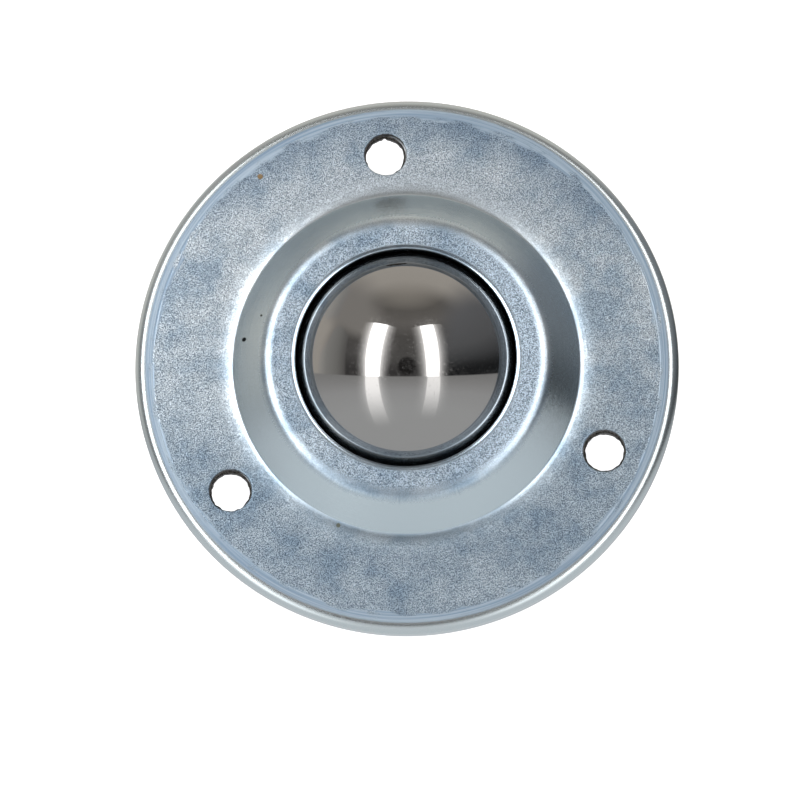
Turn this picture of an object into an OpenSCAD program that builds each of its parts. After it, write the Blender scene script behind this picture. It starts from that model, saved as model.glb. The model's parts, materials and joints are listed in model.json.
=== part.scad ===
// Ball transfer unit: a load ball that rolls on a bed of small balls, held in a
// pressed steel housing under a flanged cap with three fixing holes.
// Units are millimetres. +Z points out of the load ball. The origin is on the
// unit's axis, in the plane of the fixing holes' lower mouths.

/* [Load ball] */
// Diameter of the load ball
ball_d = 25.4; // [24.4:0.1:26.4]
// Height of the load ball's top above the boss
ball_proud = 7.5; // [7:0.1:8]

/* [Support balls] */
// Diameter of one support ball
support_d = 4.7625; // [4.6125:0.0125:5.05]
// Clearance of a support ball to the load ball and to the race
rolling_gap = 0.05; // [0.02:0.01:0.1]
// Smallest gap between neighbouring support balls
support_gap = 0.02; // [0.01:0.01:0.05]
// Highest row of support balls, as an angle from the bottom of the race
fill_angle = 75; // [60:1:80]

/* [Race cup] */
// Wall of the hemispherical race
race_wall = 1.2; // [0.8:0.1:1.6]
// Clearance of the race in the housing
race_fit = 0.0375; // [0.0125:0.0125:0.1]
// Height from the race's edge up to the parting plane
race_drop = 0.1; // [0.05:0.05:0.5]

/* [Cap] */
// Sheet thickness of the cap
cap_sheet = 1.2; // [0.8:0.1:1.4]
// Clearance between the load ball and the opening's lower edge
opening_gap = 0.15; // [0.1:0.05:0.4]
// Radius on the opening's burnished upper edge
opening_edge = 0.4; // [0.2:0.05:0.6]
// Width of the flat ring on top of the boss
ring_w = 2; // [1.5:0.1:2.5]
// Height of the boss above the flange
boss_h = 3.9; // [3.5:0.1:4.3]
// Outer radius of the bend round the boss's top
boss_top_bend = 2.3; // [1.6:0.1:2.4]
// Outer radius of the tight bend at the boss's foot
boss_foot_bend = 0.4; // [0.3:0.05:0.8]
// Radius of the gentle sweep from that bend out into the flange
foot_sweep = 5; // [4:0.2:6]
// Slope at which the tight bend takes over from the sweep
foot_turn = 18; // [14:1:22]
// How far the sweep runs out past the housing's wall
foot_out = 0.8; // [0.6:0.1:1]
// Width of the flange, from the housing's wall to the outside of the rim
flange_w = 10.2; // [9.2:0.05:12]
// Outer radius of the bend into the rim
rim_bend = 1.3; // [1:0.05:1.5]
// Thickness of the lip turned in under the housing's flange
lip_sheet = 0.7; // [0.5:0.05:0.9]
// Outer radius of the bend into that lip
lip_bend = 1; // [0.9:0.05:1.2]
// Width of that lip, from the outside of the rim
lip_w = 2.8; // [2:0.1:3]

/* [Housing] */
// Sheet thickness of the housing
housing_sheet = 1.2; // [1:0.1:1.5]
// Clearance of the housing's flange in the cap's rim
flange_fit = 0.1; // [0.05:0.05:0.2]
// Outer radius of the hollow bend under the flange
shoulder_bend = 1; // [0.6:0.1:1.4]
// Inner radius of the bend from the wall into the base
base_bend = 10; // [8:0.5:12]

/* [Fixing holes] */
// Number of fixing holes
hole_count = 3; // [3, 4, 6]
// Diameter of a fixing hole
hole_d = 4.7; // [4:0.1:5]
// Distance of a hole's centre from the housing's wall
hole_out = 4; // [3.6:0.1:4.6]
// Direction of the first hole, anticlockwise from +X
hole_start = 96; // [0:1:119]

/* [Hidden] */
$fn = 96;
bend_steps = 12; // straight steps in a drawn bend
cut_over = 1; // how far a cut runs past its piece
row_twist = 15; // turn of each row of support balls on from the one below

// Heights. The lip stands on the deck and holds the flange off it
flange_under_z = 0;
deck_z = flange_under_z - lip_sheet;
parting_z = flange_under_z + housing_sheet;
face_z = parting_z + cap_sheet;
boss_z = face_z + boss_h;
ball_z = boss_z + ball_proud - ball_d / 2;
race_top_z = parting_z - race_drop;

// The ball bed, as radii about the load ball's centre
bed_r = ball_d / 2 + rolling_gap + support_d / 2;
race_r = bed_r + support_d / 2 + rolling_gap;
race_out_r = race_r + race_wall;

// The housing, drawn over the race
cup_in_r = race_out_r + race_fit;
cup_out_r = cup_in_r + housing_sheet;
base_in_z = ball_z - race_out_r - race_fit;
hole_circle_r = cup_out_r + hole_out;
flange_r = cup_out_r + flange_w;
rim_in_r = flange_r - cap_sheet;
housing_r = rim_in_r - flange_fit;

// The cap's opening clears the load ball at its lower edge. The boss's foot sweeps
// out into the flange above the housing's wall.
opening_r = opening_gap
    + sqrt(pow(ball_d / 2, 2) - pow(boss_z - cap_sheet - ball_z, 2));
boss_top_r = opening_r + opening_edge + ring_w;
boss_foot_r = cup_out_r + foot_out;

// Rows of support balls: one at the bottom, then rings one pitch apart
ball_pitch = support_d + support_gap;
// A ring of six about the bottom ball sets the pitch angle between rows
row_angle = asin(ball_pitch / bed_r);
row_total = floor(fill_angle / row_angle);
function ring_r(row) = bed_r * sin(row * row_angle);
function ring_count(row) =
    row == 0 ? 1
    : row == 1 ? 6
    : floor(180 / asin(ball_pitch / (2 * ring_r(row))));
function ring_place(row, i) =
    let (turn = 360 * i / ring_count(row) + row_twist * row)
    [ring_r(row) * cos(turn),
     ring_r(row) * sin(turn),
     ball_z - bed_r * cos(row * row_angle)];
SUPPORTS = [for (row = [0 : row_total]) for (i = [0 : ring_count(row) - 1])
            ring_place(row, i)];

function two_digits(n) = str(n < 10 ? "0" : "", n);
SUPPORT_NAMES = [for (i = [0 : len(SUPPORTS) - 1])
                 str("support_ball_", two_digits(i + 1))];

// Points along a bend from one angle to another, its ends among them unless an
// earlier last step is given
function bend(centre, r, from, to, last = bend_steps) =
    [for (i = [0 : last])
     let (a = from + (to - from) * i / bend_steps)
     centre + r * [cos(a), sin(a)]];

function reversed(points) = [for (i = [1 : len(points)]) points[len(points) - i]];

// Points along the boss's foot, from the flank out to the flange: a tight bend
// and a gentle sweep that meet at one slope. depth is 0 on the sheet's upper side.
function foot_curve(depth) = concat(
    bend(foot_centre, boss_foot_bend + depth, 270 - flank_slope, 270 - foot_turn,
         bend_steps - 1),
    bend(sweep_centre, foot_sweep + depth, 270 - foot_turn, 270));

// Centres of the boss's bends, as radius and height. The tight bend lies inside the
// sweep and touches it.
top_centre = [boss_top_r, boss_z - boss_top_bend];
sweep_centre = [boss_foot_r, face_z + foot_sweep];
foot_centre = sweep_centre
    - (foot_sweep - boss_foot_bend) * [sin(foot_turn), cos(foot_turn)];

// Slope of the straight flank: the line that touches the top bend from above and
// the tight foot bend from below
flank_span = foot_centre - top_centre;
flank_slope = asin((boss_top_bend + boss_foot_bend) / norm(flank_span))
    - atan2(flank_span[1], flank_span[0]);

module fixing_holes() {
    for (i = [0 : hole_count - 1])
        rotate(hole_start + 360 * i / hole_count)
            translate([hole_circle_r, 0, flange_under_z - cut_over])
                cylinder(d = hole_d, h = face_z - flange_under_z + 2 * cut_over);
}

// Pressed cover: opening, boss, flange, and a rim clinched under the housing
module top_cap() {
    rim_centre = [flange_r - rim_bend, face_z - rim_bend];
    outside = concat(
        bend([opening_r + opening_edge, boss_z - opening_edge], opening_edge, 180, 90),
        bend(top_centre, boss_top_bend, 90, 90 - flank_slope),
        foot_curve(0),
        bend(rim_centre, rim_bend, 90, 0),
        bend([flange_r - lip_bend, deck_z + lip_bend], lip_bend, 0, -90));
    lip_end = [
        [flange_r - lip_w, deck_z],
        [flange_r - lip_w, flange_under_z]];
    inside = concat(
        [[rim_in_r, flange_under_z], [rim_in_r, parting_z]],
        reversed(foot_curve(cap_sheet)),
        bend(top_centre, boss_top_bend - cap_sheet, 90 - flank_slope, 90),
        [[opening_r, boss_z - cap_sheet]]);
    color("lightsteelblue")
        difference() {
            rotate_extrude() polygon(concat(outside, lip_end, inside));
            fixing_holes();
        }
}

// Drawn cup under the cap: flange, straight wall and flat base
module lower_housing() {
    shoulder = [cup_out_r + shoulder_bend, flange_under_z - shoulder_bend];
    heel = [cup_in_r - base_bend, base_in_z + base_bend];
    inside = concat(
        [[0, base_in_z]],
        bend(heel, base_bend, -90, 0),
        bend(shoulder, shoulder_bend + housing_sheet, 180, 90),
        [[housing_r, parting_z]]);
    outside = concat(
        [[housing_r, flange_under_z]],
        bend(shoulder, shoulder_bend, 90, 180),
        bend(heel, base_bend + housing_sheet, 0, -90),
        [[0, base_in_z - housing_sheet]]);
    color("lightslategray")
        difference() {
            rotate_extrude() polygon(concat(inside, outside));
            fixing_holes();
        }
}

// Hardened hemisphere that the support balls roll on
module race_cup() {
    color("dimgray")
        difference() {
            translate([0, 0, ball_z]) sphere(r = race_out_r);
            translate([0, 0, ball_z]) sphere(r = race_r);
            translate([0, 0, race_top_z])
                cylinder(r = race_out_r + cut_over, h = race_out_r + cut_over);
        }
}

module load_ball() {
    color("silver")
        translate([0, 0, ball_z])
            sphere(d = ball_d);
}

module support_ball(place) {
    color("gainsboro")
        translate(place)
            sphere(d = support_d, $fn = 32);
}

top_cap();
lower_housing();
race_cup();
load_ball();
for (i = [0 : len(SUPPORTS) - 1])
    support_ball(SUPPORTS[i]);
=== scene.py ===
import json
import math

import bmesh
import bpy
from mathutils import Matrix, Vector, noise
from mathutils.geometry import delaunay_2d_cdt


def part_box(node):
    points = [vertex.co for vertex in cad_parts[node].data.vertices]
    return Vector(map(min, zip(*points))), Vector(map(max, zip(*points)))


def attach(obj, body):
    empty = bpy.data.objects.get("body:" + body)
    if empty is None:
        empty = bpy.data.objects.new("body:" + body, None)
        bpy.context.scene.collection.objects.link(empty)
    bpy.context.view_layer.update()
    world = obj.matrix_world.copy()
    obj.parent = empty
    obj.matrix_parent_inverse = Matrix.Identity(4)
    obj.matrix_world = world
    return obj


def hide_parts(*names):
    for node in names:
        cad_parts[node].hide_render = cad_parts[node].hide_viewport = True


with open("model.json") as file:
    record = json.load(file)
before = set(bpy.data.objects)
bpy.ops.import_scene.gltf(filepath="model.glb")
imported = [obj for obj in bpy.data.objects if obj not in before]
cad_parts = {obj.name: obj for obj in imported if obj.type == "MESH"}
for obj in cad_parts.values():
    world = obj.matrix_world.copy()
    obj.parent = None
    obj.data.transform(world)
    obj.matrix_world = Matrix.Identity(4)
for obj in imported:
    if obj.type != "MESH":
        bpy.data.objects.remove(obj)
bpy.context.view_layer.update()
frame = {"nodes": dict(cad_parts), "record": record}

# A ball transfer unit: a polished steel ball in a zinc-plated pressed steel cap
# and a drawn steel housing. Lengths are in metres, in the frame of the CAD model.
MM = 0.001


# ---- Sizes ---------------------------------------------------------------------

cap_low, cap_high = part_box("top_cap")
housing_low, housing_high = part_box("lower_housing")
ball_low, ball_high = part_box("load_ball")
mounts = {mount["name"]: mount for mount in frame["record"]["mounts"]}
holes_dims = mounts["fixing_holes"]["dims"]

# From the frame
flange_r = cap_high.x
boss_z = cap_high.z
deck_z = cap_low.z
parting_z = housing_high.z
housing_r = housing_high.x
base_z = housing_low.z
ball_r = (ball_high.z - ball_low.z) / 2
ball_z = (ball_high.z + ball_low.z) / 2
wall_r = mounts["housing_body"]["dims"]["r_mm"] * MM
hole_r = holes_dims["hole_r_mm"] * MM
hole_circle_r = holes_dims["pcd_mm"] * MM / 2
hole_count = holes_dims["count"]

# Sheets and bends, as the part's source has them
sheet = 1.2 * MM
face_z = parting_z + sheet
flange_under_z = 0.0
opening_gap = 0.15 * MM
opening_edge = 0.4 * MM
ring_w = 2 * MM
boss_top_bend = 2.3 * MM
boss_foot_bend = 0.4 * MM
foot_sweep = 5 * MM
foot_turn = 18              # slopes are in degrees
foot_out = 0.8 * MM
lip_bend = 1 * MM
lip_w = 2.8 * MM
shoulder_bend = 1 * MM
base_bend = 10 * MM
hole_start = math.radians(96)

opening_r = opening_gap + math.sqrt(ball_r ** 2 - (boss_z - sheet - ball_z) ** 2)
boss_top_r = opening_r + opening_edge + ring_w
boss_foot_r = wall_r + foot_out
rim_in_r = flange_r - sheet

# Centres of the boss's bends, and the slope of the flank that touches them
top_centre = (boss_top_r, boss_z - boss_top_bend)
sweep_centre = (boss_foot_r, face_z + foot_sweep)
foot_centre = (
    sweep_centre[0] - (foot_sweep - boss_foot_bend) * math.sin(math.radians(foot_turn)),
    sweep_centre[1] - (foot_sweep - boss_foot_bend) * math.cos(math.radians(foot_turn)))
flank_span = (foot_centre[0] - top_centre[0], foot_centre[1] - top_centre[1])
flank_slope = math.degrees(math.asin((boss_top_bend + boss_foot_bend) / math.hypot(*flank_span))
                           - math.atan2(flank_span[1], flank_span[0]))

# Detail of the real sheets that the plain solids leave out. The opening's burnished edge
# and the bend round the boss's top turn easily at first, and past a slope more tightly.
edge_start_r = 12.75 * MM   # the opening's edge starts to bend here,
edge_easy = 1.2 * MM        # with this radius
edge_turn = 22              # up to this slope
top_start_r = 14.54 * MM    # the same round the boss's top
top_easy = 2.9 * MM
top_turn = 19
foot_deeper = 0.03 * MM     # the tight bend at its foot lies a little deeper,
sweep_inner = 2.65 * MM     # and the sweep from there outwards
sweep_turn = 8.5            # is flatter below this slope
rim_bend = 1.1 * MM         # the rim turns down a little more tightly
burnish_r = 28.15 * MM      # the rim tool pressed the face smooth outside this
burnish_step = 0.01 * MM    # depth of that step
burnish_run = 0.05 * MM     # its width
edge_break = 0.02 * MM      # the housing's upper edge is broken by this much
flat_margin = 0.05 * MM     # the cap's flat face begins this far past the foot,
shoulder_margin = 0.3 * MM  # and the housing's this far past its shoulder

# The punched holes. The punches missed their places by the shifts, in millimetres.
hole_edge = 0.14 * MM       # edge that the punch drew in
hole_ragged = 0.06 * MM     # how uneven the wall is
hole_flare = 0.03 * MM      # how much wider the hole is at its lower mouth
cap_shifts = [(0, 0), (0.03, -0.16), (0, 0.06)]
housing_hole_r = 2.12 * MM  # the housing's holes are a little tighter than the cap's,
housing_edge = 0.24 * MM    # and blunter and more uneven punches tore them
housing_ragged = 0.11 * MM
housing_shifts = [(-0.12, 0.0), (-0.02, -0.14), (0.03, 0.15)]
housing_tears = [1.62, 4.02, 6.42]  # where each wall has a tear, in radians round the hole
tear_depth = 0.3 * MM
tear_w = 5                  # half width of a tear, in degrees round the hole

# How finely the sheets are drawn
TURN_STEPS = 432            # steps round a pressed sheet
HOLE_STEPS = 96             # steps round a fixing hole
EDGE_STEPS = 4              # steps over a hole's punched edge
WALL_STEPS = 4              # steps down its wall
ROW_W = 0.45 * MM           # rows of the net that fills a flat face,
NET_GAP = 0.12 * MM         # which ends this far from a hole
WAVER = 4.3                 # how fast an uneven wall changes round a hole
CREASE = 35                 # an edge past this many degrees stays sharp
SHEARED = 1                 # material slot of the sheared edges


# ---- Outlines and meshes -------------------------------------------------------

def arc(centre, radius, start, end, steps):
    """Points along a bend, from one angle in degrees to another."""
    turns = [math.radians(start + (end - start) * i / steps) for i in range(steps + 1)]
    return [(centre[0] + radius * math.cos(t), centre[1] + radius * math.sin(t))
            for t in turns]


def line(start, end, steps):
    """Points along a straight stretch, without its ends."""
    return [(start[0] + (end[0] - start[0]) * i / steps,
             start[1] + (end[1] - start[1]) * i / steps) for i in range(1, steps)]


def sweep(bm, outline):
    """Sweeps an outline of radius and height round the axis; returns its rings."""
    rings = []
    for radius, height in outline:
        if radius == 0:
            rings.append([bm.verts.new((0, 0, height))])
            continue
        rings.append([bm.verts.new((radius * math.cos(a), radius * math.sin(a), height))
                      for a in (math.tau * i / TURN_STEPS for i in range(TURN_STEPS))])
    for low, high in zip(rings, rings[1:]):
        for i in range(TURN_STEPS):
            j = (i + 1) % TURN_STEPS
            if len(low) == 1:
                bm.faces.new((low[0], high[j], high[i]))
            elif len(high) == 1:
                bm.faces.new((low[i], low[j], high[0]))
            else:
                bm.faces.new((low[i], low[j], high[j], high[i]))
    return rings


def in_mouth(place, mouth, margin):
    """Whether a place lies in the mouth of a hole, or within a margin of it."""
    off = place - mouth["centre"]
    steps, part = divmod(math.atan2(off.y, off.x) / math.tau * HOLE_STEPS, 1)
    first, second = [(mouth["verts"][int(steps + i) % HOLE_STEPS].co.xy - mouth["centre"]).length
                     for i in (0, 1)]
    return off.length < first + (second - first) * part + margin


def holed_ring(bm, inner, outer, height, mouths, upward):
    """Fills the flat ring between two swept rings, round the mouths of the holes."""
    r_in = inner[0].co.xy.length
    r_out = outer[0].co.xy.length
    rows = round((r_out - r_in) / ROW_W)
    verts = list(inner) + list(outer)
    for mouth in mouths:
        verts += mouth["verts"]
    for row in range(1, rows):
        radius = r_in + (r_out - r_in) * row / rows
        for i in range(TURN_STEPS):
            a = math.tau * (i + 0.5 * (row % 2)) / TURN_STEPS
            place = Vector((radius * math.cos(a), radius * math.sin(a)))
            if not any(in_mouth(place, mouth, NET_GAP) for mouth in mouths):
                verts.append(bm.verts.new((place.x, place.y, height)))
    flat = [v.co.xy / MM for v in verts]
    loops = [inner, outer] + [mouth["verts"] for mouth in mouths]
    edges = []
    first = 0
    for loop in loops:
        edges += [(first + i, first + (i + 1) % len(loop)) for i in range(len(loop))]
        first += len(loop)
    places, _, triangles, sources, _, _ = delaunay_2d_cdt(flat, edges, [], 0, 1e-6, True)
    for triangle in triangles:
        centre = sum((places[i] for i in triangle), Vector((0, 0))) / 3 * MM
        in_hole = any(in_mouth(centre, mouth, 0) for mouth in mouths)
        # A chord of the inner ring runs a little inside its radius
        if in_hole or centre.length < r_in * 0.9995:
            continue
        corners = [verts[sources[i][0]] for i in triangle]
        if len(set(corners)) == 3:
            bm.faces.new(corners if upward else corners[::-1])


def hole_centre(index):
    """Where a fixing hole lies when its punch does not miss."""
    a = hole_start + math.tau * index / hole_count
    return Vector((hole_circle_r * math.cos(a), hole_circle_r * math.sin(a)))


def hole_loop(bm, centre, radius, height, wobble, seed, tear_way=None, tear=0.0):
    """One loop of a hole's wall. wobble makes it uneven, and a tear runs out one way."""
    loop = []
    for i in range(HOLE_STEPS):
        a = math.tau * i / HOLE_STEPS
        way = Vector((math.cos(a), math.sin(a), 0))
        r = radius + wobble * noise.noise(way * WAVER + Vector((seed, seed, height / MM)))
        if tear_way is not None:
            off = math.degrees(math.atan2(math.sin(a - tear_way), math.cos(a - tear_way)))
            r += tear * math.exp(-(off / tear_w) ** 2)
        loop.append(bm.verts.new((centre.x + r * way.x, centre.y + r * way.y, height)))
    return loop


def stitch(bm, loops, drawn):
    """Joins hole loops, from the top one down. The first few are the drawn edge, and
    the rest are sheared."""
    for level, (high, low) in enumerate(zip(loops, loops[1:])):
        for i in range(HOLE_STEPS):
            j = (i + 1) % HOLE_STEPS
            face = bm.faces.new((high[i], high[j], low[j], low[i]))
            face.material_index = 0 if level < drawn else SHEARED


def punched_holes(bm, top_z, under_z, radius, edge, ragged, shifts, seed, tears=()):
    """Walls of the holes through one sheet; returns the mouths in its upper and its lower
    face. On a sheet whose punch tore the walls, the drawn edge takes the dark sheared
    steel too, which darkens that sheet's edge round its holes."""
    tops = []
    unders = []
    for index, shift in enumerate(shifts):
        centre = hole_centre(index) + Vector(shift) * MM
        loops = []
        for step in range(EDGE_STEPS + 1):
            bend = math.pi / 2 * step / EDGE_STEPS
            loops.append(hole_loop(
                bm, centre, radius + edge * (1 - math.sin(bend)),
                top_z - edge * (1 - math.cos(bend)), ragged * math.sin(bend), seed + index))
        for step in range(1, WALL_STEPS + 1):
            depth = step / WALL_STEPS
            loops.append(hole_loop(
                bm, centre, radius + hole_flare * depth,
                top_z - edge + (under_z - top_z + edge) * depth, ragged, seed + index,
                tears[index] if tears else None, tear_depth * depth))
        stitch(bm, loops, 0 if tears else EDGE_STEPS)
        tops.append({"verts": loops[0], "centre": centre})
        unders.append({"verts": loops[-1], "centre": centre})
    return tops, unders


def finished(name, bm, materials, body, node):
    """Turns the mesh into a piece that rides on its body and stands for its node."""
    bmesh.ops.recalc_face_normals(bm, faces=bm.faces)
    mesh = bpy.data.meshes.new(name)
    bm.to_mesh(mesh)
    bm.free()
    for material in materials:
        mesh.materials.append(material)
    mesh.shade_smooth()
    mesh.set_sharp_from_angle(angle=math.radians(CREASE))
    piece = bpy.data.objects.new(name, mesh)
    bpy.context.scene.collection.objects.link(piece)
    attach(piece, body)
    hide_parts(node)


# ---- Nodes ---------------------------------------------------------------------

def colour(code):
    """An sRGB hex colour as linear red, green, blue and alpha."""
    parts = [int(code[i:i + 2], 16) / 255 for i in (1, 3, 5)]
    return tuple(c / 12.92 if c <= 0.04045 else ((c + 0.055) / 1.055) ** 2.4
                 for c in parts) + (1.0,)


def add(tree, kind, inputs=(), stops=(), **settings):
    """Adds a node with its settings, and sets or links its sockets. A colour may be
    given by its hex code, and a stop's grey by its level."""
    made = tree.nodes.new("ShaderNode" + kind)
    for name, value in settings.items():
        setattr(made, name, value)
    for socket, value in dict(inputs).items():
        if isinstance(value, bpy.types.NodeSocket):
            tree.links.new(value, made.inputs[socket])
        else:
            made.inputs[socket].default_value = colour(value) if isinstance(value, str) else value
    for i, (place, shade) in enumerate(stops):
        elements = made.color_ramp.elements
        stop = elements[i] if i < 2 else elements.new(place)
        stop.position = place
        stop.color = colour(shade) if isinstance(shade, str) else (shade, shade, shade, 1)
    return made


def region(tree, *limits):
    """Where a place lies within every limit. A limit is a value, with the level at which
    the region begins and the level at which it is full."""
    inside = 1.0
    for value, begins, full in limits:
        step = add(tree, "MapRange", {"Value": value, "From Min": begins, "From Max": full},
                   interpolation_type="SMOOTHSTEP").outputs[0]
        inside = add(tree, "Math", {0: inside, 1: step}, operation="MULTIPLY").outputs[0]
    return inside


def graded(tree, value, *stops):
    """A shade that changes with a value. A stop is a level of the value and its shade."""
    first = stops[0][0]
    last = stops[-1][0]
    spread = add(tree, "MapRange", {"Value": value, "From Min": first, "From Max": last})
    places = [((level - first) / (last - first), shade) for level, shade in stops]
    return add(tree, "ValToRGB", {"Fac": spread.outputs[0]}, places).outputs[0]


def layered(tree, shade, *coats):
    """A shade under further coats. A coat is where it lies, its shade and how it mixes
    with what is under it."""
    for where, coat, blend in coats:
        shade = add(tree, "Mix", {0: where, 6: shade, 7: coat}, data_type="RGBA",
                    blend_type=blend).outputs[2]
    return shade


# ---- Materials -----------------------------------------------------------------

def new_material(name):
    """A bare material, its tree, and the place on its surface in millimetres."""
    material = bpy.data.materials.new(name)
    material.use_nodes = True
    tree = material.node_tree
    tree.nodes.clear()
    place = add(tree, "TexCoord").outputs["Object"]
    in_mm = add(tree, "VectorMath", {0: place, "Scale": 1 / MM}, operation="SCALE").outputs[0]
    return material, tree, in_mm


def zinc_plate(name):
    """Bright zinc electroplate with a blue passivate, on pressed steel sheet.

    The rolled face keeps a coarse, sparkling grain. Where the tools drew or pressed
    the sheet, it is smooth and shines: the boss's flank, the opening's edge and the rim.
    """
    material, tree, place = new_material(name)
    across = add(tree, "VectorMath", {0: place, 1: (1, 1, 0)}, operation="MULTIPLY").outputs[0]
    radius = add(tree, "VectorMath", {0: across}, operation="LENGTH").outputs["Value"]
    parts = add(tree, "SeparateXYZ", {0: place}).outputs
    angle = add(tree, "Math", {0: parts["Y"], 1: parts["X"]}, operation="ARCTAN2").outputs[0]
    round_axis = add(tree, "CombineXYZ", {"X": angle, "Y": radius}).outputs[0]

    # Marks that run round or outwards, by the radius they lie at and their length each way
    # in millimetres. Real draw marks are too fine to show, so they are 0.25 mm coarse here.
    draw_marks, streaks, patches = [
        add(tree, "TexNoise", {
            "Vector": add(tree, "VectorMath", {0: round_axis, 1: (at / length_round, 1 / out, 1)},
                          operation="MULTIPLY").outputs[0],
            "Scale": 1.0,
            "Detail": detail}).outputs["Fac"]
        for at, length_round, out, detail in (
            (17.5, 0.25, 2, 3.0),       # draw marks down the flank
            (28.8, 18, 0.2, 4.0),       # streaks of the rim tool
            (28.8, 3.2, 0.833, 4.0))]   # patches at the edge of the tool's band

    # The ring's grain frays out into the smooth flank along the draw marks, and the rim
    # tool's band wanders by several tenths of a millimetre. Radii are in millimetres.
    frayed = add(tree, "Math", {0: draw_marks, 1: 1.1, 2: radius}, operation="MULTIPLY_ADD")
    strayed = add(tree, "Math", {0: patches, 1: 3.0, 2: radius}, operation="MULTIPLY_ADD")
    ring = region(tree, (radius, 15.6, 14.8))
    flank = region(tree, (frayed.outputs[0], 16.1, 17.0), (radius, 19.2, 19.1))
    band = region(tree, (strayed.outputs[0], 29.3, 29.9))
    # Where the rim bends down. Its colour is painted paler there, a painted reflection of the
    # bright table
    rim = region(tree, (radius, 28.95, 29.15))
    # How much of the rolled grain is left at each radius
    rolled = graded(
        tree, radius,
        (12.6, 0), (12.9, 1),                               # the opening's edge, the ring
        (14.5, 1), (15.0, 0.4), (19.3, 0.15),               # the bend and the flank
        (19.7, 0.45), (20.4, 0.7), (21.8, 1),               # the foot, out into the flange
        (28.6, 1), (28.9, 0))                               # the rim

    # Clouds in the passivate, about 4.5 mm across. Over them, painted shade darkens the lower
    # half, the tone is paler towards the top and greyer further out, and the ring is bluer, and
    # paler on its right with painted light.
    cloud = add(tree, "TexNoise", {"Vector": place, "Scale": 1 / 4.55, "Detail": 5.0,
                                   "Roughness": 0.58}).outputs["Fac"]
    clouded = graded(tree, cloud, (0.36, "#b9cad8"), (0.5, "#d5e0e8"), (0.64, "#e8f0f5"))
    ring_tint_and_light = layered(
        tree, clouded,
        (1.0, "#f1f8ff", "MULTIPLY"),
        # painted light: the ring's right side is paler, as if more light fell on it
        (region(tree, (parts["X"], 3, 12)), "#dff0ff", "MIX"))
    tint = layered(
        tree, clouded,
        # painted shade: the lower half is darkened
        (region(tree, (parts["Y"], 6, -14)), "#dbe2e8", "MULTIPLY"),
        (region(tree, (parts["Y"], 12, 20), (radius, 25, 21)), "#d8e1e8", "MIX"),
        (region(tree, (parts["Y"], 12, 20), (radius, 23, 28)), "#cdd6df", "MULTIPLY"),
        (ring, ring_tint_and_light, "MIX"))

    # The grain sparkles by specks 0.125 mm across. Real crystals of zinc are too fine to
    # show, so they are drawn this coarse.
    speck = add(tree, "TexNoise", {"Vector": place, "Scale": 1 / 0.125,
                                   "Detail": 1.5}).outputs["Fac"]
    specks = graded(tree, speck, (0.36, "#828992"), (0.64, "#ffffff"))
    streaked = graded(tree, streaks, (0.36, "#8da2b8"), (0.6, "#b3c3d1"))
    shade = layered(
        tree, tint,
        (rolled, specks, "MULTIPLY"),
        (band, streaked, "MIX"),
        # painted reflection: the rim's bend is paler, as if it mirrored the bright table
        (rim, "#cfd7da", "MIX"),
        (flank, "#cdd9df", "MIX"))
    # Two pits drawn only as dark spots of painted shade, and two rust spots, by their place and
    # radius in millimetres
    for x, y, spot_r, stain_and_pit_shade in (
            (-18.0, 2.46, 0.3, "#14181a"), (-16.05, 4.9, 0.16, "#4c5452"),
            (-16.5, 21.3, 0.38, "#8f7a5c"), (-7.4, -18.2, 0.3, "#7f8378")):
        apart = add(tree, "VectorMath", {0: across, 1: (x, y, 0)},
                    operation="DISTANCE").outputs["Value"]
        shade = layered(tree, shade, (region(tree, (apart, spot_r, spot_r * 0.6)), stain_and_pit_shade, "MIX"))

    dull = graded(
        tree, radius,
        (12.6, 0.2), (12.9, 0.42),                          # the opening's edge, the ring
        (14.4, 0.42), (14.9, 0.36), (15.8, 0.36),           # the bend round the top
        (16.6, 0.3), (19.4, 0.3),                           # the flank
        (20.6, 0.42), (28.9, 0.42), (29.1, 0.27))           # the flange and the rim
    rough = add(tree, "Mix", {0: flank, 2: dull, 3: 0.26}).outputs[0]

    # Each crystal of the grain, drawn about 0.15 mm across, lies at its own small tilt.
    # A noise 0.2 mm across shifts the crystals' edges, so that none is straight.
    wander = add(tree, "TexNoise", {"Vector": place, "Scale": 1 / 0.2,
                                    "Detail": 2.0}).outputs["Color"]
    warped = add(tree, "VectorMath", {0: wander, 1: (0.3, 0.3, 0.3), 2: place},
                 operation="MULTIPLY_ADD").outputs[0]
    crystal = add(tree, "TexVoronoi", {"Vector": warped, "Scale": 1 / 0.154}).outputs["Color"]
    tilt = add(tree, "VectorMath", {0: crystal, 1: (0.5, 0.5, 0.5)},
               operation="SUBTRACT").outputs[0]
    steep = add(tree, "MapRange", {"Value": band, "To Min": 0.15, "To Max": 0.02}).outputs[0]
    lean = add(tree, "Math", {0: rolled, 1: steep}, operation="MULTIPLY").outputs[0]
    leaned = add(tree, "VectorMath", {0: tilt, "Scale": lean}, operation="SCALE").outputs[0]
    waves = add(tree, "Bump", {"Height": streaks, "Strength": 0.5, "Distance": 0.02 * MM})
    normal = add(tree, "VectorMath", {0: waves.outputs[0], 1: leaned}, operation="ADD").outputs[0]
    unit = add(tree, "VectorMath", {0: normal}, operation="NORMALIZE").outputs[0]

    metal = add(tree, "BsdfPrincipled", {"Base Color": shade, "Metallic": 1.0,
                                         "Roughness": rough, "Normal": unit})
    add(tree, "OutputMaterial", {"Surface": metal.outputs[0]})
    return material


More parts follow.
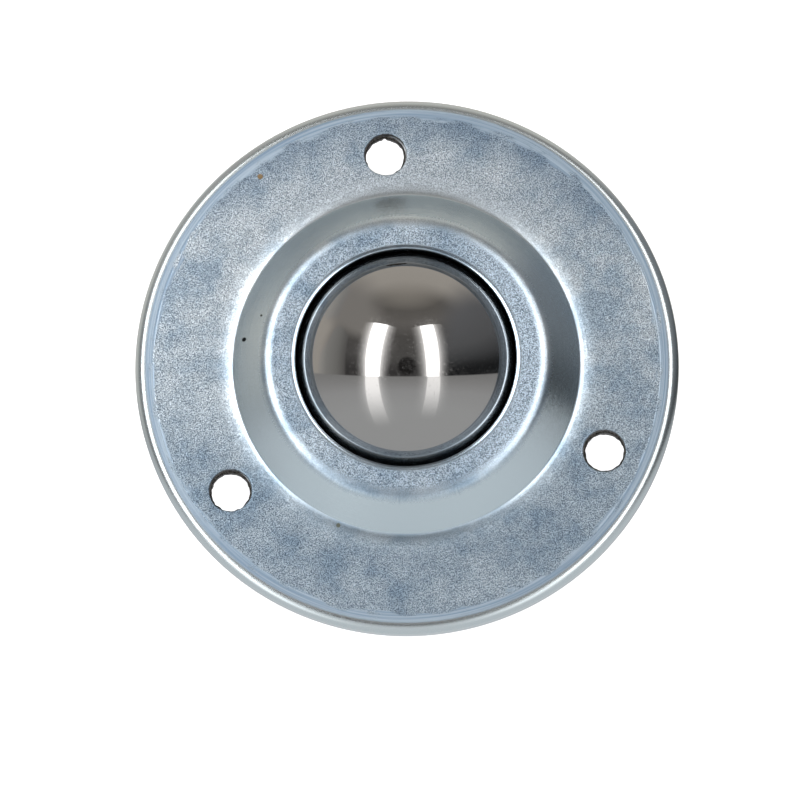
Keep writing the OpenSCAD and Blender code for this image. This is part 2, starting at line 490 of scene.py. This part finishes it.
def drawn_zinc(name):
    """Zinc electroplate on the deep-drawn housing: a clouded, satin grey with upright
    draw marks that stretch the lights up and down."""
    material, tree, place = new_material(name)
    parts = add(tree, "SeparateXYZ", {0: place}).outputs
    angle = add(tree, "Math", {0: parts["Y"], 1: parts["X"]}, operation="ARCTAN2").outputs[0]
    upright = add(tree, "CombineXYZ", {"X": angle, "Z": parts["Z"]}).outputs[0]
    # Draw marks a third of a millimetre wide and 4 mm long. Real ones are too fine to show.
    marks_place = add(tree, "VectorMath", {0: upright, 1: (wall_r / MM * 3, 1, 1 / 4)},
                      operation="MULTIPLY").outputs[0]
    marks = add(tree, "TexNoise", {"Vector": marks_place, "Scale": 1.0,
                                   "Detail": 4.0}).outputs["Fac"]
    # Clouds in the passivate, 5 mm across
    cloud = add(tree, "TexNoise", {"Vector": place, "Scale": 1 / 5, "Detail": 3.0}).outputs["Fac"]
    tint = graded(tree, cloud, (0.35, "#a9b6c4"), (0.65, "#c6ccd0"))
    rough = add(tree, "MapRange", {"Value": marks, "To Min": 0.22, "To Max": 0.42}).outputs[0]
    bump = add(tree, "Bump", {"Height": marks, "Distance": 0.02 * MM}).outputs[0]
    metal = add(tree, "BsdfPrincipled", {"Base Color": tint, "Metallic": 1.0,
                                         "Roughness": rough, "Normal": bump})
    add(tree, "OutputMaterial", {"Surface": metal.outputs[0]})
    return material


def sheared_steel_and_shade(name):
    """Sheared edge of the steel sheet: torn upright and hardly plated. Its dark grey is
    partly the bare steel and partly painted shade, the shade inside the holes.
    """
    material, tree, place = new_material(name)
    # Tears a sixth of a millimetre wide and 1 mm tall
    tear = add(tree, "VectorMath", {0: place, 1: (6, 6, 1)}, operation="MULTIPLY").outputs[0]
    torn = add(tree, "TexNoise", {"Vector": tear, "Scale": 1.0, "Detail": 3.0}).outputs["Fac"]
    # The bare steel's grey, darkened further with painted shade
    tint = graded(tree, torn, (0.35, "#222120"), (0.7, "#6b6763"))
    bump = add(tree, "Bump", {"Height": torn, "Distance": 0.05 * MM}).outputs[0]
    metal = add(tree, "BsdfPrincipled", {"Base Color": tint, "Metallic": 1.0,
                                         "Roughness": 0.5, "Normal": bump})
    add(tree, "OutputMaterial", {"Surface": metal.outputs[0]})
    return material


def bearing_steel(name):
    """Hardened chrome steel, lapped to a mirror, with a haze of handling marks. Each mark
    is too fine to show, so they are drawn as hazy patches and specks."""
    material, tree, place = new_material(name)
    # Sizes in millimetres: the patches, the mottle in them, and specks of dust
    patch, mottle, dust = [
        add(tree, "TexNoise", {"Vector": place, "Scale": 1 / size,
                               "Detail": detail}).outputs["Fac"]
        for size, detail in ((2.86, 4.0), (0.333, 3.0), (0.286, 2.0))]
    both = add(tree, "Math", {0: patch, 1: mottle}, operation="MULTIPLY").outputs[0]
    haze = add(tree, "MapRange", {"Value": both, "From Min": 0.22, "From Max": 0.4,
                                  "To Min": 0.03, "To Max": 0.22}).outputs[0]
    specks = add(tree, "MapRange", {"Value": dust, "From Min": 0.62, "From Max": 0.68,
                                    "To Max": 0.5}).outputs[0]
    marked = add(tree, "Math", {0: haze, 1: specks}, operation="MAXIMUM").outputs[0]
    mirror, hazy = [
        add(tree, "BsdfPrincipled", {"Base Color": "#a7a5a3", "Metallic": 1.0,
                                     "Roughness": rough}).outputs[0]
        for rough in (0.04, 0.25)]
    lapped = add(tree, "MixShader", {0: marked, 1: mirror, 2: hazy})
    add(tree, "OutputMaterial", {"Surface": lapped.outputs[0]})
    return material


def race_steel(name):
    """Hardened race: dark grey from the heat, ground smooth where the balls run."""
    material, tree, place = new_material(name)
    # Scale of the heat, in flecks 0.83 mm across
    scale = add(tree, "TexNoise", {"Vector": place, "Scale": 1 / 0.833,
                                   "Detail": 4.0}).outputs["Fac"]
    tint = graded(tree, scale, (0.35, "#5d5c5b"), (0.65, "#7a7978"))
    metal = add(tree, "BsdfPrincipled", {"Base Color": tint, "Metallic": 1.0, "Roughness": 0.35})
    add(tree, "OutputMaterial", {"Surface": metal.outputs[0]})
    return material


def matt_paper(name):
    """Matt white paper of the studio's floor: pale, even and without a shine."""
    material, tree, place = new_material(name)
    # Fibres are too fine to show, so the paper has a mottle 1.25 mm across
    fibre = add(tree, "TexNoise", {"Vector": place, "Scale": 1 / 1.25,
                                   "Detail": 3.0}).outputs["Fac"]
    tint = graded(tree, fibre, (0.3, "#c8c8c8"), (0.7, "#cecece"))
    paper = add(tree, "BsdfPrincipled", {
        "Base Color": tint, "Roughness": 0.9, "Specular IOR Level": 0.0,
        "Emission Color": "#fdfdfd", "Emission Strength": 0.85})
    add(tree, "OutputMaterial", {"Surface": paper.outputs[0]})
    return material


# ---- Pieces --------------------------------------------------------------------

def foot_underside():
    """The under side of the boss's foot, from the flank out to the flange."""
    return (arc(foot_centre, boss_foot_bend + sheet, 270 - flank_slope, 270 - foot_turn, 10)[:-1]
            + arc(sweep_centre, foot_sweep + sheet, 270 - foot_turn, 270, 14))


def opening_curve():
    """The opening's burnished edge, from the ring over into the wall."""
    turn = math.radians(edge_turn)
    reach = edge_start_r - opening_r
    tight_r = (reach - edge_easy * math.sin(turn)) / (1 - math.sin(turn))
    easy = (edge_start_r, boss_z - edge_easy)
    tight = (easy[0] - (edge_easy - tight_r) * math.sin(turn),
             easy[1] + (edge_easy - tight_r) * math.cos(turn))
    return (arc(easy, edge_easy, 90, 90 + edge_turn, 10)[:-1]
            + arc(tight, tight_r, 90 + edge_turn, 180, 10))


def top_curve():
    """The bend round the boss's top, from the ring over to the straight flank."""
    turn = math.radians(top_turn)
    slope = math.radians(flank_slope)
    easy = (top_start_r, boss_z - top_easy)
    # The tight part touches the flank's line. That line lies the solid's bend radius
    # off the centre of the solid's bend.
    to_line = (boss_top_bend + (top_centre[0] - easy[0]) * math.sin(slope)
               + (top_centre[1] - easy[1]) * math.cos(slope))
    part = math.cos(slope - turn)
    tight_r = (to_line - top_easy * part) / (1 - part)
    tight = (easy[0] + (top_easy - tight_r) * math.sin(turn),
             easy[1] + (top_easy - tight_r) * math.cos(turn))
    return (arc(easy, top_easy, 90, 90 - top_turn, 12)[:-1]
            + arc(tight, tight_r, 90 - top_turn, 90 - flank_slope, 12))


def swept_foot():
    """The upper side of the boss's foot, from the flank out to the flat flange."""
    steep = math.radians(foot_turn)
    gentle = math.radians(sweep_turn)
    tight = (foot_centre[0] + foot_deeper / math.tan(math.radians(flank_slope)),
             foot_centre[1] - foot_deeper)
    joint = (tight[0] - boss_foot_bend * math.sin(steep),
             tight[1] - boss_foot_bend * math.cos(steep))
    drop = joint[1] - face_z - sweep_inner * (math.cos(gentle) - math.cos(steep))
    outer_r = drop / (1 - math.cos(gentle))
    inner = (joint[0] + sweep_inner * math.sin(steep), joint[1] + sweep_inner * math.cos(steep))
    outer = (inner[0] + (outer_r - sweep_inner) * math.sin(gentle), face_z + outer_r)
    return (arc(tight, boss_foot_bend, 270 - flank_slope, 270 - foot_turn, 10)[:-1]
            + arc(inner, sweep_inner, 270 - foot_turn, 270 - sweep_turn, 8)[:-1]
            + arc(outer, outer_r, 270 - sweep_turn, 270, 12))


def build_top_cap(materials):
    """The pressed cap: its boss round the opening, the flange, and the rim and lip."""
    bm = bmesh.new()
    edge = opening_curve()
    foot = swept_foot()
    top = top_curve()
    rim_z = face_z - burnish_step
    rim_centre = (flange_r - rim_bend, rim_z - rim_bend)
    lip_centre = (flange_r - lip_bend, deck_z + lip_bend)
    flange_in_r = foot[-1][0] + flat_margin
    # From the underside of the flange, up through the opening, out to the flange's face
    inside = (
        [(flange_in_r, parting_z)]
        + foot_underside()[::-1]
        + arc(top_centre, boss_top_bend - sheet, 90 - flank_slope, 90, 8)
        + line((boss_top_r, boss_z - sheet), (opening_r, boss_z - sheet), 4)
        + [(opening_r, boss_z - sheet)]
        + line((opening_r, boss_z - sheet), edge[-1], 6)
        + edge[::-1]
        + line(edge[0], top[0], 6)
        + top
        + line(top[-1], foot[0], 10)
        + foot
        + [(flange_in_r, face_z)])
    # From the flange's face, out over the rim and round the lip, back to the underside
    outside = (
        [(burnish_r - 2 * burnish_run, face_z), (burnish_r - burnish_run, face_z),
         (burnish_r, rim_z), (burnish_r + burnish_run, rim_z)]
        + line((burnish_r + burnish_run, rim_z), (rim_centre[0], rim_z), 5)
        + arc(rim_centre, rim_bend, 90, 0, 20)
        + arc(lip_centre, lip_bend, 0, -90, 14)
        + line((lip_centre[0], deck_z), (flange_r - lip_w, deck_z), 5)
        + [(flange_r - lip_w, deck_z), (flange_r - lip_w, flange_under_z)]
        + [(rim_in_r, flange_under_z), (rim_in_r, parting_z)])
    inner = sweep(bm, inside)
    outer = sweep(bm, outside)
    tops, unders = punched_holes(bm, face_z, parting_z, hole_r, hole_edge, hole_ragged,
                                 cap_shifts, seed=0.0)
    holed_ring(bm, inner[-1], outer[0], face_z, tops, upward=True)
    holed_ring(bm, inner[0], outer[-1], parting_z, unders, upward=False)
    finished("zinc_plated_cap", bm, materials, "housing", "top_cap")


def build_housing(materials):
    """The drawn cup under the cap, with its own flange inside the cap's rim."""
    bm = bmesh.new()
    heel_z = base_z + sheet + base_bend
    heel = (wall_r - sheet - base_bend, heel_z)
    shoulder = (wall_r + shoulder_bend, flange_under_z - shoulder_bend)
    flange_in_r = wall_r + shoulder_bend + shoulder_margin
    inside = (
        [(flange_in_r, parting_z)]
        + arc(shoulder, shoulder_bend + sheet, 90, 180, 16)
        + line((wall_r - sheet, shoulder[1]), (wall_r - sheet, heel_z), 4)
        + arc(heel, base_bend, 0, -90, 32)
        + line((heel[0], base_z + sheet), (0, base_z + sheet), 6)
        + [(0, base_z + sheet)])
    outside = (
        [(0, base_z)]
        + line((0, base_z), (heel[0], base_z), 6)
        + arc(heel, base_bend + sheet, -90, 0, 40)
        + line((wall_r, heel_z), (wall_r, shoulder[1]), 6)
        + arc(shoulder, shoulder_bend, 180, 90, 14)
        + [(flange_in_r, flange_under_z)])
    edge = [(housing_r, flange_under_z), (housing_r, parting_z - edge_break),
            (housing_r - 2 * edge_break, parting_z)]
    inner = sweep(bm, inside)
    outer = sweep(bm, outside)
    edges = sweep(bm, edge)
    tops, unders = punched_holes(bm, parting_z, flange_under_z, housing_hole_r, housing_edge,
                                 housing_ragged, housing_shifts, seed=7.0, tears=housing_tears)
    holed_ring(bm, inner[0], edges[-1], parting_z, tops, upward=True)
    holed_ring(bm, outer[-1], edges[0], flange_under_z, unders, upward=False)
    finished("drawn_housing", bm, materials, "housing", "lower_housing")


def build_ball(materials):
    """The load ball."""
    bm = bmesh.new()
    bmesh.ops.create_icosphere(bm, subdivisions=7, radius=ball_r,
                               matrix=Matrix.Translation((0, 0, ball_z)))
    finished("polished_ball", bm, materials, "load_ball", "load_ball")


plate = zinc_plate("bright_zinc_plate")
drawn = drawn_zinc("drawn_zinc_plate")
sheared = sheared_steel_and_shade("sheared_steel_edge_and_shade")
mirror = bearing_steel("lapped_bearing_steel")
race = race_steel("hardened_race_steel")

build_top_cap([plate, sheared])
build_housing([drawn, sheared])
build_ball([mirror])
# The race and its small balls stay as the CAD solids, and get their steels
for node, solid in frame["nodes"].items():
    if node == "race_cup" or node.startswith("support_ball"):
        solid.data.materials.clear()
        solid.data.materials.append(race if node == "race_cup" else mirror)


# ---- Studio --------------------------------------------------------------------

# The unit leans back in front of the camera and is turned a little to its side.
# Directions in the studio are an azimuth, rightwards from the camera, and an
# elevation above the table, both in degrees.
TIP = math.radians(16)
TURN = math.radians(1.5)
level_front = Vector((0, -math.sin(TIP), math.cos(TIP)))
level_right = Vector((1, 0, 0))
studio_up = Vector((0, math.cos(TIP), math.sin(TIP)))
studio_front = level_front * math.cos(TURN) + level_right * math.sin(TURN)
studio_right = level_right * math.cos(TURN) - level_front * math.sin(TURN)
unit_centre = Vector((0, 0, ball_z))

CAMERA_UP = 5               # elevation of the camera
CAMERA_AWAY = 0.65          # its distance in metres
TABLE_END = -5.5            # elevation of the table's far edge
GLOW = 11                   # how far a softbox glows on past each of its sides, in degrees
# How that glow falls off: the way through it, and the share of the softbox's own strength
GLOW_FALL = [(0, 1), (0.06, 0.4), (0.18, 0.26), (0.36, 0.14), (0.55, 0.075), (0.75, 0.03),
             (1, 0)]


def studio_way(azimuth, elevation):
    """The way from the unit to a place in the studio."""
    a = math.radians(azimuth)
    e = math.radians(elevation)
    level = studio_right * math.sin(a) + studio_front * math.cos(a)
    return level * math.cos(e) + studio_up * math.sin(e)


def strip_light(name, azimuth, low, high, width, strength, distance, fades=False):
    """An upright strip softbox that fills a range of elevations and glows on past its
    sides. One that fades is its mirror image in the table, which dies away downwards.
    Angles are in degrees, and the distance is in metres."""
    way = studio_way(azimuth, (low + high) / 2)
    half = math.tan(math.radians(width / 2 + GLOW))
    core = math.tan(math.radians(width / 2)) / half
    data = bpy.data.lights.new(name, "AREA")
    data.shape = "RECTANGLE"
    data.size = 2 * distance * half
    data.size_y = 2 * distance * math.tan(math.radians((high - low) / 2))
    data.energy = strength * data.size * data.size_y * math.pi
    data.use_nodes = True
    tree = data.node_tree
    tree.nodes.clear()
    place = add(tree, "SeparateXYZ", {0: add(tree, "NewGeometry").outputs["Parametric"]}).outputs
    aside = add(tree, "MapRange", {"Value": place["X"], "To Min": -1, "To Max": 1}).outputs[0]
    aside = add(tree, "Math", {0: aside}, operation="ABSOLUTE").outputs[0]
    level = graded(tree, aside, *[(core + (1 - core) * part, share) for part, share in GLOW_FALL])
    if fades:
        fade = region(tree, (place["Y"], 0, 1))
        level = add(tree, "Math", {0: level, 1: fade}, operation="MULTIPLY").outputs[0]
    lit = add(tree, "Emission", {"Strength": level}).outputs[0]
    add(tree, "OutputLight", {"Surface": lit})
    light = bpy.data.objects.new(name, data)
    bpy.context.scene.collection.objects.link(light)
    side = studio_up.cross(way).normalized()
    rise = way.cross(side).normalized()
    facing = Matrix((side, rise, way)).transposed().to_4x4()
    light.matrix_world = Matrix.Translation(unit_centre + way * distance) @ facing
    light.visible_camera = False


def room():
    """The studio seen from the unit: a light table below, a dark room in front and to
    the right, and a pale wall behind that comes round to the left."""
    world = bpy.data.worlds.new("studio")
    bpy.context.scene.world = world
    world.use_nodes = True
    tree = world.node_tree
    tree.nodes.clear()
    way = add(tree, "TexCoord").outputs["Generated"]
    # How far the way leans towards each side of the room, from -1 to 1
    up, front, right, at_camera = [
        add(tree, "VectorMath", {0: way, 1: axis}, operation="DOT_PRODUCT").outputs["Value"]
        for axis in (studio_up, studio_front, studio_right, studio_way(0, CAMERA_UP))]
    ahead = graded(
        tree, up, (0, "#4e4d4d"), (0.22, "#696867"), (0.55, "#6c6a68"), (0.74, "#8b8885"),
        (0.88, "#807d79"), (1, "#bbb6ae"))
    # The wall on the left shows more the further back one looks
    back_left = add(tree, "Math", {0: front, 1: 0.9, 2: right},
                    operation="MULTIPLY_ADD").outputs[0]
    left_wall = graded(
        tree, back_left, (-0.45, "#000000"), (-0.558, "#7c7b7a"), (-0.747, "#9d9d9b"),
        (-0.99, "#b2b2b0"), (-1.125, "#cecdc9"), (-1.35, "#dedad4"))
    right_wall = graded(
        tree, up, (0, "#26282a"), (0.07, "#3a3c3e"), (0.175, "#5b5d60"), (0.35, "#76787b"),
        (0.7, "#84868a"))
    table = graded(
        tree, up, (-0.09, "#afb0b0"), (-0.2175, "#bfc0c1"), (-0.345, "#d0d2d4"),
        (-0.6, "#d8dbdd"))
    seen = layered(
        tree, ahead,
        (region(tree, (front, 0.2, -0.25)), "#dad5cd", "MIX"),                   # pale wall behind
        (region(tree, (right, -0.25, -0.6), (up, 0.4, 0.6)), "#afaca8", "MIX"),  # high on the left
        (1.0, left_wall, "LIGHTEN"),
        (region(tree, (right, 0.4, 0.75)), right_wall, "MIX"),
        (region(tree, (at_camera, 0.984, 0.992)), "#2b2a2a", "MIX"),             # the dark camera
        (region(tree, (up, -0.085, -0.105)), table, "MIX"))
    glow = add(tree, "Background", {"Color": seen, "Strength": 1.0}).outputs[0]
    add(tree, "OutputWorld", {"Surface": glow})


def backdrop():
    """A pale floor under the unit that curves up into a wall all round it."""
    reach = 2.5
    bend = 1.0
    height = 2.5
    bm = bmesh.new()
    outline = ([(0, base_z), (0.2, base_z), (0.8, base_z)]
               + arc((reach - bend, base_z + bend), bend, -90, 0, 24)
               + [(reach, base_z + height)])
    sweep(bm, outline)
    mesh = bpy.data.meshes.new("floor")
    bm.to_mesh(mesh)
    bm.free()
    mesh.shade_smooth()
    mesh.materials.append(matt_paper("matt_white_paper"))
    floor = bpy.data.objects.new("floor", mesh)
    bpy.context.scene.collection.objects.link(floor)
    # The metal mirrors the room, and the room's light passes through the paper
    floor.visible_glossy = False
    floor.visible_diffuse = False
    floor.visible_shadow = False


def camera():
    """Nearly face on to the flange, from a little above the table. Its middle lies a
    little to the left of the unit's axis, and lower."""
    back = studio_way(0, CAMERA_UP)
    rise = studio_way(0, CAMERA_UP + 90)
    aside = rise.cross(back)
    data = bpy.data.cameras.new("camera")
    data.lens = 263.8
    data.sensor_width = 36
    data.clip_start = 0.01
    data.clip_end = 20
    made = bpy.data.objects.new("camera", data)
    bpy.context.scene.collection.objects.link(made)
    aim = Vector((0, 0, face_z)) - aside * 0.727 * MM - rise * 4.0 * MM
    facing = Matrix((aside, rise, back)).transposed().to_4x4()
    made.matrix_world = Matrix.Translation(aim + back * CAMERA_AWAY) @ facing
    bpy.context.scene.camera = made


strip_light("left_strip", azimuth=-34, low=TABLE_END, high=45, width=14.5,
            strength=4.7, distance=0.3)
strip_light("right_strip", azimuth=26, low=TABLE_END, high=45, width=13,
            strength=4.0, distance=0.8)
strip_light("left_strip_in_table", azimuth=-35, low=-58, high=TABLE_END, width=14,
            strength=1.9, distance=0.3, fades=True)
strip_light("right_strip_in_table", azimuth=27, low=-50, high=TABLE_END, width=13,
            strength=1.6, distance=0.8, fades=True)
room()
backdrop()
camera()
bpy.context.scene.view_settings.view_transform = "Standard"
